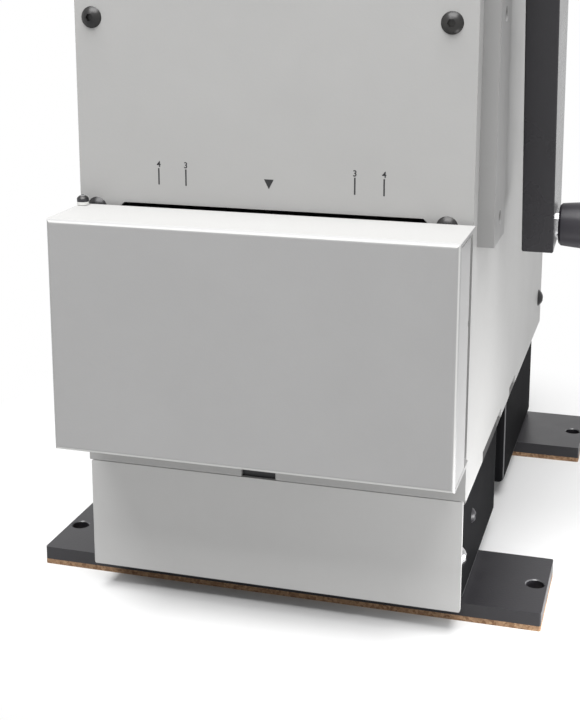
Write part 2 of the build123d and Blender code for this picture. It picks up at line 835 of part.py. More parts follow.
def make_side_plates():
    for side, name in zip(sides, ("left", "right")):
        across = side_pair(side, plate_inner, plate_outer)
        through = side_pair(side, plate_inner - overrun, plate_outer + overrun)
        plate = block(across, (back(plate_front), back(plate_back)), (floor_top, plate_top))
        corners = plate.edges().filter_by(Axis.X).group_by(Axis.Z)[-1]
        plate = fillet(corners, plate_corner)
        for distance, z in frame_bolt_places():
            sunk = side_pair(side, plate_outer - frame_bolt[1] - thread_clearance, plate_outer + overrun)
            plate -= rod_x(sunk, back(distance), z, frame_bolt[0] + screw_clearance)
            plate -= rod_x(through, back(distance), z, frame_bolt[2] + screw_clearance)
        for y, z, radius in ((crank_y, crank_height, shaft_radius), (output_y, output_z, output_radius)):
            plate -= rod_x(through, y, z, radius + running_clearance + bush_wall + seat_clearance)
        for distance in base_bolt_backs:
            depth = base_bolt[3] - floor_thickness - wrap_sheet + overrun
            hole = base_bolt[2] + thread_clearance
            plate -= rod_z(side * base_bolt_x, back(distance), (floor_top, floor_top + depth), hole)
        add("press_plate_" + name, plate)
    bolts = [
        facing(side, plate_outer - frame_bolt[1], back(distance), z, cap_screw(frame_bolt))
        for side in sides
        for distance, z in frame_bolt_places()
    ]
    add("frame_bolts", *bolts)


def make_cross_pieces():
    across = (-plate_inner, plate_inner)
    bed = block(across, (back(plate_front), back(plate_front + bed_depth)), (floor_top, bed_top))
    bed -= rod_z(0, ram_y, (bed_top - die_depth, bed_top + overrun), die_radius)
    add("bed_plate", bored_for_frame(bed))

    stop = block(across, (back(stop_front), back(stop_front + stop_thickness)), (bed_top, bed_top + stop_height))
    add("back_stop", bored_for_frame(stop))

    z = (crosshead_bottom, crosshead_top)
    crosshead = block(across, (back(crosshead_front), back(crosshead_back)), z)
    crosshead -= ram_window(z)
    for x, y in guide_bolt_places():
        crosshead -= rod_z(x, y, (z[0] - overrun, z[1] + overrun), guide_bolt[2] + thread_clearance)
    add("crosshead", bored_for_frame(crosshead))

    bars = []
    for start in (front_tie_front, rear_tie_front):
        bar = block(across, (back(start), back(start + tie_size)), (tie_bottom, tie_bottom + tie_size))
        bars.append(bored_for_frame(bar))
    add("top_tie_bars", *bars)


def ram_window(z):
    """The sliding fit around the ram, through a stretch of height."""
    half = ram_half_width + ram_clearance
    y = (ram_front - ram_clearance, ram_back + ram_clearance)
    return block((-half, half), y, (z[0] - overrun, z[1] + overrun))


def guide_bolt_places():
    x = ram_half_width + guide_wall + guide_flange_reach / 2
    half = ram_depth / 2
    return [(side * x, ram_y + end * half) for side in sides for end in sides]


def make_ram_guide():
    """Guide block on the crosshead, with a tall front wall that backs the ram at the pinion."""
    half = ram_half_width + guide_wall
    y = (ram_front - guide_wall, ram_back + guide_wall)
    body = block((-half, half), y, (crosshead_top, guide_top))
    flange_half = half + guide_flange_reach
    body += block((-flange_half, flange_half), y, (crosshead_top, crosshead_top + guide_flange))
    front_top = crank_height - collar_radius - guide_collar_gap
    front_wall = (y[0], ram_front - ram_clearance)
    body += block((-half, half), front_wall, (crosshead_top, front_top))
    body -= ram_window((crosshead_top, guide_top))
    for x, y_bolt in guide_bolt_places():
        span = (crosshead_top - overrun, crosshead_top + guide_flange + overrun)
        body -= rod_z(x, y_bolt, span, guide_bolt[2] + screw_clearance)
    add("ram_guide", body)
    top = crosshead_top + guide_flange
    add("guide_bolts", *[Pos(x, y_bolt, top) * cap_screw(guide_bolt) for x, y_bolt in guide_bolt_places()])


def make_insert():
    z = bed_top
    y = (back(plate_front), back(stop_front - insert_clearance))
    body = block((-insert_half_width, insert_half_width), y, (z, z + insert_sheet))
    for side in sides:
        across = side_pair(side, insert_half_width - insert_rail_width, insert_half_width)
        body += block(across, y, (z, z + insert_rail_height))
    body -= rod_z(0, ram_y, (z - overrun, z + insert_sheet + overrun), die_radius)
    add("drive_support", body)


# Gears, shafts and ram
def involute(angle):
    return tan(angle) - angle


def gear_face_outline(teeth, module, first_tooth):
    """The outline of a spur gear about the origin, with a tooth at the given angle."""
    pressure = radians(pressure_angle)
    pitch = module * teeth / 2
    base = pitch * cos(pressure)
    tip = pitch + addendum_share * module
    root = pitch - dedendum_share * module
    half_at_pitch = pi / (2 * teeth) - tooth_backlash / (2 * pitch)
    start = max(base, root)
    radii = [start + (tip - start) * step / flank_steps for step in range(flank_steps + 1)]
    flank = []
    for radius in radii:
        spread = half_at_pitch + involute(pressure) - involute(acos(min(1.0, base / radius)))
        flank.append((radius, spread))
    if root < base:
        flank.insert(0, (root, flank[0][1]))
    points = []
    for tooth in range(teeth):
        middle = first_tooth + 2 * pi * tooth / teeth
        for radius, spread in flank:
            points.append((radius * cos(middle - spread), radius * sin(middle - spread)))
        for radius, spread in reversed(flank):
            points.append((radius * cos(middle + spread), radius * sin(middle + spread)))
    return points


def spur_gear(teeth, module, first_tooth, x, y, z):
    """A gear whose axis lies along X, between the two values of x."""
    outline = Polyline(*gear_face_outline(teeth, module, first_tooth), close=True)
    face = make_face(Plane.YZ * outline)
    return Pos(x[0], y, z) * extrude(face, x[1] - x[0], dir=(1, 0, 0))


def key_block(x, y, z, radius, height):
    """A key that stands half in a shaft of the given radius, on its top side."""
    half = key_width / 2
    return block(x, (y - half, y + half), (z + radius - height * key_share, z + radius + height * key_share))


def keyway(x, y, z, radius):
    half = key_width / 2 + thread_clearance
    low = z + radius - key_width * key_share - thread_clearance
    high = z + radius + key_width * key_share + thread_clearance
    return block(x, (y - half, y + half), (low, high))


mesh_angle = atan2(output_z - crank_height, output_y - crank_y)


def make_crank_shaft():
    turn = Pos(0, crank_y, crank_height) * Rot(crank_tilt, 0, 0) * Pos(0, -crank_y, -crank_height)
    shaft = rod_x((-plate_outer, arm_inner), crank_y, crank_height, shaft_radius)
    arm_end = arm_outer - end_gap
    shaft += rod_x((arm_inner, arm_end), crank_y, crank_height, shaft_end_radius)
    pinion_key = (pinion_left, shaft_inner_end)
    shaft -= keyway(pinion_key, crank_y, crank_height, shaft_radius)
    arm_key = (arm_inner, arm_end)
    shaft -= turn * keyway((arm_inner, arm_outer + overrun), crank_y, crank_height, shaft_end_radius)
    bore = arm_screw_radius + thread_clearance
    shaft -= rod_x((arm_end - arm_screw_length, arm_end + overrun), crank_y, crank_height, bore)
    add("crank_shaft", shaft)

    pinion = spur_gear(crank_teeth, gear_module, mesh_angle, (pinion_left, pinion_right), crank_y, crank_height)
    pinion += rod_x((pinion_right, shaft_inner_end), crank_y, crank_height, pinion_hub_radius)
    whole = (pinion_left - overrun, shaft_inner_end + overrun)
    pinion -= rod_x(whole, crank_y, crank_height, shaft_radius + thread_clearance)
    pinion -= keyway(whole, crank_y, crank_height, shaft_radius)
    add("crank_pinion", pinion)
    add("pinion_key", key_block(pinion_key, crank_y, crank_height, shaft_radius, key_width))

    collar_x = (pinion_left - end_gap - collar_width, pinion_left - end_gap)
    collar = rod_x(collar_x, crank_y, crank_height, collar_radius)
    through = (collar_x[0] - overrun, collar_x[1] + overrun)
    collar -= rod_x(through, crank_y, crank_height, shaft_radius + thread_clearance)
    middle = (collar_x[0] + collar_x[1]) / 2
    screw_z = (crank_height - collar_radius, crank_height - shaft_radius)
    collar -= rod_z(middle, crank_y, (screw_z[0] - overrun, screw_z[1] + overrun), set_screw_radius)
    add("shaft_collar", collar)
    screw = rod_z(middle, crank_y, screw_z, set_screw_radius - thread_clearance)
    socket = extrude(RegularPolygon(set_screw_radius * socket_share, 6), set_screw_radius)
    add("collar_screw", screw - Pos(middle, crank_y, screw_z[0]) * socket)

    spacer = rod_x((plate_outer + end_gap, arm_inner), crank_y, crank_height, spacer_radius)
    spacer -= rod_x((plate_outer, arm_inner + overrun), crank_y, crank_height, shaft_radius + thread_clearance)
    add("crank_spacer", spacer)
    add("arm_key", turn * key_block(arm_key, crank_y, crank_height, shaft_end_radius, key_width))


def arm_place():
    """Carries a piece made about the pivot, with the arm hanging straight down, to its rest."""
    return Pos(0, crank_y, crank_height) * Rot(crank_tilt, 0, 0)


def make_crank_arm():
    end = -(crank_radius + arm_end_margin)
    outline = Polyline(
        (-arm_end_half_width, end), (arm_end_half_width, end), (arm_hub_radius, 0), (-arm_hub_radius, 0), close=True
    )
    blade = Pos(arm_inner, 0, 0) * extrude(make_face(Plane.YZ * outline), arm_thickness, dir=(1, 0, 0))
    arm = blade + rod_x((arm_inner, arm_outer), 0, 0, arm_hub_radius)
    faces = arm.faces().sort_by(Axis.X)
    arm = chamfer(faces[0].edges() + faces[-1].edges(), arm_edge)
    across = (arm_inner - overrun, arm_outer + overrun)
    arm -= rod_x(across, 0, 0, shaft_end_radius + thread_clearance)
    arm -= keyway(across, 0, 0, shaft_end_radius)
    arm -= rod_x(across, 0, -crank_radius, grip_bolt_stud_radius + thread_clearance)
    add("crank_arm", arm_place() * arm)

    cap_x = (arm_outer, arm_outer + arm_cap_thickness)
    cap = rod_x(cap_x, 0, 0, arm_cap_radius)
    cap -= rod_x((cap_x[0] - overrun, cap_x[1] + overrun), 0, 0, arm_screw_radius + screw_clearance)
    add("arm_washer", arm_place() * cap)
    reach = arm_screw_length - arm_cap_thickness
    sizes = (arm_screw_head_radius, arm_screw_head, arm_screw_radius, reach)
    add("arm_screw", arm_place() * facing(1, cap_x[1], 0, 0, button_screw(sizes)))


def make_grip():
    start = arm_outer + grip_washer_thickness
    washer = rod_x((arm_outer, start), 0, -crank_radius, grip_washer_radius)
    washer -= rod_x((arm_outer - overrun, start + overrun), 0, -crank_radius, grip_bolt_radius + thread_clearance)
    washer += rod_x((arm_outer, start), 0, -crank_radius, grip_bolt_radius + overrun) - rod_x(
        (arm_outer - overrun, start + overrun), 0, -crank_radius, grip_bolt_stud_radius + thread_clearance
    )
    add("grip_washer", arm_place() * washer)

    inner = start + end_gap
    outer = inner + grip_length
    head_seat = outer - grip_bolt_head - grip_edge
    bolt = rod_x((arm_inner + arm_edge, start), 0, -crank_radius, grip_bolt_stud_radius)
    bolt += rod_x((start, head_seat + end_gap), 0, -crank_radius, grip_bolt_radius)
    bolt += facing(1, head_seat + end_gap, 0, -crank_radius, button_screw(
        (grip_bolt_head_radius, grip_bolt_head, grip_bolt_radius, grip_bolt_head)
    ))
    add("grip_bolt", arm_place() * bolt)

    belly = inner + grip_length * grip_belly_share
    profile = [
        (inner, 0), (inner, grip_inner_radius - grip_edge), (inner + grip_edge, grip_inner_radius),
        (belly, grip_belly_radius),
        (outer - grip_edge, grip_end_radius), (outer, grip_end_radius - grip_edge), (outer, 0),
    ]
    edges = Polyline(*profile[:3]) + Spline(*profile[2:5]) + Polyline(*profile[4:]) + Line(profile[-1], profile[0])
    grip = revolve(make_face(edges), Axis.X)
    grip -= rod_x((inner - overrun, outer), 0, 0, grip_bolt_radius + grip_bore_clearance)
    grip -= rod_x((head_seat, outer + overrun), 0, 0, grip_bolt_head_radius + screw_clearance)
    add("crank_grip", arm_place() * Pos(0, 0, -crank_radius) * grip)


def make_bushes():
    for name, y, z, radius in (
        ("crank_bushes", crank_y, crank_height, shaft_radius),
        ("output_bushes", output_y, output_z, output_radius),
    ):
        bore = radius + running_clearance
        pair = []
        for side in sides:
            bush = rod_x(side_pair(side, bush_inner, plate_outer), y, z, bore + bush_wall)
            bush += rod_x(side_pair(side, bush_inner, plate_inner), y, z, bush_flange_radius)
            bush -= rod_x(side_pair(side, bush_inner - overrun, plate_outer + overrun), y, z, bore)
            pair.append(bush)
        add(name, *pair)


def make_output():
    gear_end = shaft_inner_end
    shaft = rod_x((-plate_outer, plate_outer), output_y, output_z, output_radius)
    shaft += rod_x((-shaft_inner_end, gear_hub_left - end_gap), output_y, output_z, output_shoulder)
    teeth = spur_gear(rack_teeth, rack_module, pi, (-rack_pinion_half, rack_pinion_half), output_y, output_z)
    shaft += teeth
    key_x = (gear_hub_left + output_key_start, gear_end - output_key_start)
    shaft -= keyway(key_x, output_y, output_z, output_radius)
    add("pinion_shaft", shaft)
    add("gear_key", key_block(key_x, output_y, output_z, output_radius, key_width))

    first = mesh_angle + pi + pi / gear_teeth
    face_x = (gear_left, gear_right)
    gear = spur_gear(gear_teeth, gear_module, first, face_x, output_y, output_z)
    rim = gear_module * gear_teeth / 2 - gear_module - gear_rim
    for recess in ((face_x[0] - overrun, face_x[0] + gear_web_recess), (face_x[1] - gear_web_recess, face_x[1] + overrun)):
        gear -= rod_x(recess, output_y, output_z, rim)
    gear += rod_x((gear_hub_left, gear_end), output_y, output_z, gear_hub_radius)
    middle = (rim + gear_hub_radius) / 2
    for hole in range(gear_web_holes):
        angle = 2 * pi * hole / gear_web_holes
        gear -= rod_x(face_x, output_y + middle * cos(angle), output_z + middle * sin(angle), gear_web_hole_radius)
    whole = (gear_hub_left - overrun, gear_end + overrun)
    gear -= rod_x(whole, output_y, output_z, output_radius + thread_clearance)
    gear -= keyway(whole, output_y, output_z, output_radius)
    screw_x = (gear_hub_left + gear_left) / 2
    screw_z = (output_z - gear_hub_radius, output_z - output_radius)
    gear -= rod_z(screw_x, output_y, (screw_z[0] - overrun, screw_z[1] + overrun), set_screw_radius)
    add("main_gear", gear)
    screw = rod_z(screw_x, output_y, screw_z, set_screw_radius - thread_clearance)
    socket = extrude(RegularPolygon(set_screw_radius * socket_share, 6), set_screw_radius)
    add("gear_set_screw", screw - Pos(screw_x, output_y, screw_z[0]) * socket)


def make_ram():
    half = ram_half_width
    bar = block((-half, half), (ram_front, ram_back), (ram_bottom, ram_top))
    pitch = pi * rack_module
    depth = dedendum_share * rack_module
    slope = tan(radians(pressure_angle))
    gap_half = pitch / 4 + tooth_backlash / 2
    top_half = gap_half + addendum_share * rack_module * slope
    floor_half = gap_half - depth * slope
    reach = ram_back + overrun
    reach_half = top_half + overrun * slope
    lowest = -int(rack_below_output / pitch)
    highest = int((ram_top - output_z) / pitch)
    for index in range(lowest, highest + 1):
        z = output_z + index * pitch
        gap = Polyline(
            (rack_pitch_y - depth, z - floor_half), (rack_pitch_y - depth, z + floor_half),
            (reach, z + reach_half), (reach, z - reach_half), close=True,
        )
        cut = extrude(make_face(Plane.YZ * gap), half + overrun, dir=(1, 0, 0), both=True)
        bar -= cut
    spigot = punch_spigot_radius + seat_clearance
    bar -= rod_z(0, ram_y, (ram_bottom - overrun, ram_bottom + punch_spigot_length + end_gap), spigot)
    screw_height = ram_bottom + punch_spigot_length / 2
    screw_y = (ram_front, ram_y - punch_spigot_radius)
    bar -= rod_y(0, (screw_y[0] - overrun, screw_y[1]), screw_height, set_screw_radius)
    add("ram", bar)

    shoulder = ram_bottom - seat_clearance
    cone = punch_length * punch_cone_share
    punch = rod_z(0, ram_y, (punch_tip_height + cone, shoulder), punch_radius)
    punch += Pos(0, ram_y, punch_tip_height + cone / 2) * Cone(punch_tip_radius, punch_radius, cone)
    punch += rod_z(0, ram_y, (shoulder, ram_bottom + punch_spigot_length), punch_spigot_radius)
    add("punch", punch)
    screw_radius = set_screw_radius - thread_clearance
    screw = rod_y(0, (screw_y[0], screw_y[1] - seat_clearance), screw_height, screw_radius)
    socket = extrude(RegularPolygon(set_screw_radius * socket_share, 6), set_screw_radius)
    add("punch_screw", screw - facing_front(0, screw_y[0] + set_screw_radius, screw_height, socket))


def make_all():
    make_feet()
    make_risers()
    make_skirt()
    make_wrap()
    make_front_panel()
    make_rear_cover()
    make_floor()
    make_rail()
    make_door()
    make_hinge()
    make_magnet()
    make_side_plates()
    make_cross_pieces()
    make_ram_guide()
    make_insert()
    make_bushes()
    make_crank_shaft()
    make_crank_arm()
    make_grip()
    make_output()
    make_ram()


make_all()
os.makedirs("parts", exist_ok=True)
for node_name, solid in nodes.items():
    export_step(solid, os.path.join("parts", node_name + ".step"))
print(len(nodes), "nodes, crank turns", round(degrees(ram_stroke / rack_radius * gear_teeth / crank_teeth) / full_turn, 3))
print("crank", crank_y, crank_height, "output", output_y, output_z, "top", cabinet_top, "panel", panel_front)
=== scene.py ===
import json
import math

import bmesh
import bpy
from mathutils import Matrix, Vector


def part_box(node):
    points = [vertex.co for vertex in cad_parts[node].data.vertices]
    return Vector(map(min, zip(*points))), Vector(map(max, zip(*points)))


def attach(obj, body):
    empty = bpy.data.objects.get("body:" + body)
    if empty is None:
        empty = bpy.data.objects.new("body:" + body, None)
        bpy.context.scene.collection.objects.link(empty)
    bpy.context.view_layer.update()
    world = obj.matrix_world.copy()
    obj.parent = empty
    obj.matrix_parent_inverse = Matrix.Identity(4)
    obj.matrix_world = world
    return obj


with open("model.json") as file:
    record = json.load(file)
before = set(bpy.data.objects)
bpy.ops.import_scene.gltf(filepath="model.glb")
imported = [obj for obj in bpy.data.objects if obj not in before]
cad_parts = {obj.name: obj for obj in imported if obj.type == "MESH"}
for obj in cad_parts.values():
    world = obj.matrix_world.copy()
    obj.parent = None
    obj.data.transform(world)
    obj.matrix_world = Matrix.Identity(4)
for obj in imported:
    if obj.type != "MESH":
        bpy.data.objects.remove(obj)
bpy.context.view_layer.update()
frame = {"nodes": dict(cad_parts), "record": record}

nodes = frame["nodes"]
MM = 0.001
INCH = 25.4 * MM

# Colours, as they look in plain light (linear values)
GREY = (0.385, 0.383, 0.378, 1)
GREY_WORN = (0.425, 0.423, 0.418, 1)
BLACK = (0.012, 0.011, 0.014, 1)
BLACK_WORN = (0.03, 0.029, 0.033, 1)
OXIDE = (0.02, 0.02, 0.022, 1)
OXIDE_STAIN = (0.05, 0.048, 0.045, 1)
NYLON = (0.7, 0.7, 0.68, 1)
NYLON_WORN = (0.6, 0.6, 0.58, 1)
WHITE = (1, 1, 1, 1)

# Sizes of the patterns in the finishes
PEEL_SIZE = 1.1 * MM
FINE_PEEL_SIZE = 0.45 * MM
PEEL_HEIGHT = 0.12 * MM
SPECK_SIZE = 0.7 * MM
COAT_CLOUD_SIZE = 38 * MM
TOOL_LINE_SIZE = 0.35 * MM
TOOL_LINE_SQUEEZE = 0.06
TOOL_LINE_HEIGHT = 0.05 * MM
STAIN_SIZE = 16 * MM
CRUMB_SIZE = 1.3 * MM
CORK_GRAIN_SIZE = 0.5 * MM
CORK_HEIGHT = 0.25 * MM


# Shader helpers
def new_group(name, inputs, outputs):
    """An empty shader node group with named sockets."""
    group = bpy.data.node_groups.new(name, "ShaderNodeTree")
    for label, kind, value in inputs:
        socket = group.interface.new_socket(label, in_out="INPUT", socket_type=kind)
        if value is not None:
            socket.default_value = value
    for label, kind in outputs:
        group.interface.new_socket(label, in_out="OUTPUT", socket_type=kind)
    return group, group.nodes.new("NodeGroupInput"), group.nodes.new("NodeGroupOutput")


def add_node(tree, kind, settings=None, **links):
    """A node with settings, whose inputs are linked to sockets or set to values. i0 is its first input."""
    node = tree.nodes.new(kind)
    for key, value in (settings or {}).items():
        setattr(node, key, value)
    for key, value in links.items():
        counted = key[0] == "i" and key[1:].isdigit()
        socket = node.inputs[int(key[1:])] if counted else node.inputs[key]
        if isinstance(value, bpy.types.NodeSocket):
            tree.links.new(value, socket)
        else:
            socket.default_value = value
    return node


def noise(tree, where, size, detail=3.0, roughness=0.5):
    """Noise whose features are about size metres wide."""
    values = {"Vector": where, "Scale": 1 / size, "Detail": detail, "Roughness": roughness}
    return add_node(tree, "ShaderNodeTexNoise", None, **values).outputs[0]


def math_node(tree, operation, first, second=0.5):
    return add_node(tree, "ShaderNodeMath", {"operation": operation}, i0=first, i1=second).outputs[0]


def mix_colour(tree, factor, first, second):
    """The first colour where the factor is 0, and the second where it is 1."""
    return add_node(tree, "ShaderNodeMix", {"data_type": "RGBA"}, i0=factor, i6=first, i7=second).outputs[2]


def spread(tree, value, low, high, out_low=0.0, out_high=1.0):
    """The value, with low to high turned into out_low to out_high."""
    links = {"Value": value, "From Min": low, "From Max": high, "To Min": out_low, "To Max": out_high}
    return add_node(tree, "ShaderNodeMapRange", None, **links).outputs[0]


# Shared shader groups
SURFACE_OUTPUTS = [
    ("Colour", "NodeSocketColor"), ("Roughness", "NodeSocketFloat"), ("Normal", "NodeSocketVector"),
]


def coat_group():
    """Powder coat: a fine orange peel, a little mottling and a few faint specks."""
    tree, given, out = new_group(
        "powder_coat",
        [
            ("Place", "NodeSocketVector", None),
            ("Colour", "NodeSocketColor", GREY),
            ("Worn Colour", "NodeSocketColor", GREY_WORN),
            ("Peel", "NodeSocketFloat", 0.3),
            ("Low Roughness", "NodeSocketFloat", 0.4),
            ("High Roughness", "NodeSocketFloat", 0.5),
        ],
        SURFACE_OUTPUTS,
    )
    where, worn = given.outputs["Place"], given.outputs["Worn Colour"]
    peel = noise(tree, where, PEEL_SIZE, 2.0, 0.45)
    fine = noise(tree, where, FINE_PEEL_SIZE, 1.0)
    cloud = noise(tree, where, COAT_CLOUD_SIZE, 4.0, 0.6)
    speck = noise(tree, where, SPECK_SIZE, 2.0, 0.7)
    toned = mix_colour(tree, spread(tree, cloud, 0.3, 0.7, 0.0, 0.35), given.outputs["Colour"], worn)
    toned = mix_colour(tree, spread(tree, speck, 0.62, 0.74, 0.0, 0.35), toned, worn)
    tree.links.new(toned, out.inputs["Colour"])
    rough = spread(tree, cloud, 0.25, 0.75, given.outputs["Low Roughness"], given.outputs["High Roughness"])
    tree.links.new(rough, out.inputs["Roughness"])
    height = math_node(tree, "ADD", peel, math_node(tree, "MULTIPLY", fine, 0.35))
    strength = given.outputs["Peel"]
    bump = add_node(tree, "ShaderNodeBump", None, Strength=strength, Distance=PEEL_HEIGHT, Height=height)
    tree.links.new(bump.outputs[0], out.inputs["Normal"])
    return tree


def machined_group():
    """Machined steel: long fine lines along one direction, smudges and faint stains."""
    tree, given, out = new_group(
        "machined",
        [
            ("Place", "NodeSocketVector", None),
            ("Colour", "NodeSocketColor", (0.5, 0.5, 0.5, 1)),
            ("Stain", "NodeSocketColor", (0.35, 0.34, 0.33, 1)),
            ("Lines", "NodeSocketFloat", 0.2),
            ("Low Roughness", "NodeSocketFloat", 0.25),
            ("High Roughness", "NodeSocketFloat", 0.45),
        ],
        SURFACE_OUTPUTS,
    )
    where, stain = given.outputs["Place"], given.outputs["Stain"]
    drawn = add_node(tree, "ShaderNodeMapping", None, Vector=where, Scale=(1.0, TOOL_LINE_SQUEEZE, 1.0))
    lines = noise(tree, drawn.outputs[0], TOOL_LINE_SIZE, 2.0, 0.6)
    cloud = noise(tree, where, STAIN_SIZE, 4.0, 0.6)
    toned = mix_colour(tree, spread(tree, cloud, 0.42, 0.72, 0.0, 0.8), given.outputs["Colour"], stain)
    toned = mix_colour(tree, spread(tree, lines, 0.35, 0.65, 0.0, 0.25), toned, stain)
    tree.links.new(toned, out.inputs["Colour"])
    rough = spread(tree, cloud, 0.3, 0.7, given.outputs["Low Roughness"], given.outputs["High Roughness"])
    tree.links.new(rough, out.inputs["Roughness"])
    strength = given.outputs["Lines"]
    bump = add_node(tree, "ShaderNodeBump", None, Strength=strength, Distance=TOOL_LINE_HEIGHT, Height=lines)
    tree.links.new(bump.outputs[0], out.inputs["Normal"])
    return tree


groups = {"coat": coat_group(), "machined": machined_group()}


# Materials
def new_material(name, **settings):
    """A material whose Principled shader has the given plain values."""
    material = bpy.data.materials.new(name)
    material.use_nodes = True
    shader = material.node_tree.nodes["Principled BSDF"]
    for key, value in settings.items():
        shader.inputs[key.replace("_", " ")].default_value = value
    place = material.node_tree.nodes.new("ShaderNodeTexCoord").outputs["Object"]
    return material, material.node_tree, shader, place


def grouped_material(name, group, values, **settings):
    """A material whose colour, roughness and normal come from a shared group."""
    material, tree, shader, place = new_material(name, **settings)
    node = tree.nodes.new("ShaderNodeGroup")
    node.node_tree = groups[group]
    tree.links.new(place, node.inputs["Place"])
    for key, value in values.items():
        node.inputs[key].default_value = value
    tree.links.new(node.outputs["Colour"], shader.inputs["Base Color"])
    tree.links.new(node.outputs["Roughness"], shader.inputs["Roughness"])
    tree.links.new(node.outputs["Normal"], shader.inputs["Normal"])
    return material


def coat(name, colour, worn, peel=0.22, low=0.38, high=0.48, **settings):
    """A powder coat, paint or moulded skin, with its roughness from low to high."""
    values = {"Colour": colour, "Worn Colour": worn, "Peel": peel}
    roughness = {"Low Roughness": low, "High Roughness": high}
    return grouped_material(name, "coat", {**values, **roughness}, **settings)


def metal(name, colour, stain, lines=0.2, low=0.25, high=0.45, metallic=1.0):
    """Machined metal, with its roughness from low to high."""
    values = {"Colour": colour, "Stain": stain, "Lines": lines}
    roughness = {"Low Roughness": low, "High Roughness": high}
    return grouped_material(name, "machined", {**values, **roughness}, Metallic=metallic)


def reach(material, source, axis, low, high, both_ways=False):
    """0 to 1 as a place or a normal goes from low to high along one axis of the object."""
    tree = material.node_tree
    place = tree.nodes.new("ShaderNodeTexCoord").outputs[source]
    value = add_node(tree, "ShaderNodeSeparateXYZ", None, Vector=place).outputs[axis]
    if both_ways:
        value = math_node(tree, "ABSOLUTE", value)
    return spread(tree, value, low, high)


def turned(material, axis, sign, low, high, soft=0.03):
    """1 where the normal leans from low to high towards one side of an axis, with soft ends."""
    tree = material.node_tree
    rise = reach(material, "Normal", axis, sign * (low - soft), sign * low)
    fall = reach(material, "Normal", axis, sign * (high + soft), sign * high)
    return math_node(tree, "MULTIPLY", rise, fall)


def bend_mask(material, turns, across="X"):
    """1 on the bends of a sheet that faces across. A turn has an axis, its sign and the normal's lean."""
    tree = material.node_tree
    total = 0.0
    for turn in turns:
        total = math_node(tree, "MAXIMUM", turned(material, *turn), total)
    return math_node(tree, "MULTIPLY", total, reach(material, "Normal", across, 0.2, 0.35, both_ways=True))


def change_where(material, mask, colour, roughness):
    """Another colour and roughness where the mask is 1."""
    tree = material.node_tree
    shader = tree.nodes["Principled BSDF"]
    base = shader.inputs["Base Color"].links[0].from_socket
    rough = shader.inputs["Roughness"].links[0].from_socket
    tree.links.new(mix_colour(tree, mask, base, colour), shader.inputs["Base Color"])
    tree.links.new(spread(tree, mask, 0.0, 1.0, rough, roughness), shader.inputs["Roughness"])


def cork_material():
    """Pressed cork: pale and dark crumbs a few tenths of a millimetre to two millimetres wide."""
    material, tree, shader, place = new_material("cork", Specular_IOR_Level=0.25)
    crumbs = add_node(tree, "ShaderNodeTexVoronoi", {"feature": "F1"}, Vector=place, Scale=1 / CRUMB_SIZE)
    fine = noise(tree, place, CORK_GRAIN_SIZE, 3.0, 0.7)
    tone = spread(tree, crumbs.outputs["Color"], 0.1, 0.9)
    base = mix_colour(tree, tone, (0.23, 0.13, 0.072, 1), (0.48, 0.31, 0.185, 1))
    base = mix_colour(tree, spread(tree, fine, 0.55, 0.68, 0.0, 0.8), base, (0.12, 0.055, 0.03, 1))
    tree.links.new(base, shader.inputs["Base Color"])
    tree.links.new(spread(tree, fine, 0.3, 0.7, 0.75, 0.95), shader.inputs["Roughness"])
    height = math_node(tree, "SUBTRACT", crumbs.outputs["Distance"], fine)
    bump = add_node(tree, "ShaderNodeBump", None, Strength=0.8, Distance=CORK_HEIGHT, Height=height)
    tree.links.new(bump.outputs[0], shader.inputs["Normal"])
    return material


def riser_coat():
    """Matt black, with painted highlights along the bends of the risers."""
    material = coat(
        "black_coat_matt", (0.008, 0.008, 0.0085, 1), (0.016, 0.016, 0.018, 1), 0.3, 0.6, 0.72,
        Specular_IOR_Level=0.01,
    )
    turns = [("Y", 1, 0.05, 0.9), ("Y", -1, 0.5, 0.7), ("Z", -1, 0.08, 0.9)]
    # Painted highlights: the bends are painted pale grey in place of the white surroundings they reflect.
    change_where(material, bend_mask(material, turns), (0.16, 0.16, 0.165, 1), 0.2)
    return material


def wrap_coat():
    """The cabinet's grey, with painted highlights along its lower and upper bends and painted shade on top.
    """
    material = coat("grey_coat_folded", GREY, GREY_WORN)
    # Painted highlights: the lower and upper bends are painted pale, in place of the floor and lamp they
    # reflect.
    painted_bend_highlight = bend_mask(material, [("Z", -1, 0.06, 0.9), ("Z", 1, 0.3, 0.8)])
    change_where(material, painted_bend_highlight, (0.75, 0.75, 0.74, 1), 0.25)
    # Painted shade: the top is painted a little darker, to temper the overhead lamp.
    change_where(material, reach(material, "Normal", "Z", 0.9, 0.95), (0.34, 0.338, 0.334, 1), 0.55)
    return material


def door_coat():
    """The guard door's grey, painted darker than the cabinet's same coat as shade, with painted highlights
    along its bends and its top painted paler.
    """
    # Painted shade: the door has the cabinet's paint, painted a little darker than it.
    material = coat("grey_coat_door", (0.335, 0.333, 0.333, 1), (0.37, 0.368, 0.368, 1))
    # Painted highlights along the bends.
    painted_bend_highlight = bend_mask(material, [("X", 1, 0.55, 0.8), ("Z", -1, 0.3, 0.8), ("Z", 1, 0.3, 0.6)], "Y")
    change_where(material, painted_bend_highlight, (0.56, 0.56, 0.55, 1), 0.3)
    # Painted light: the top is painted paler, back to about the cabinet's grey, to set how bright the
    # overhead lamp leaves it.
    change_where(material, reach(material, "Normal", "Z", 0.88, 0.94), (0.386, 0.384, 0.379, 1), 0.62)
    return material


def floor_coat():
    """Black, and dark grey and fully rough on the ends of the tabs that reach through the walls."""
    material = coat("black_coat_floor", BLACK, BLACK_WORN, 0.3, 0.32, 0.46)
    tab_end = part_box("floor_plate")[1].x
    ends = reach(material, "Object", "X", tab_end - 0.5 * MM, tab_end - 0.3 * MM, both_ways=True)
    change_where(material, ends, (0.03, 0.029, 0.029, 1), 1.0)
    return material


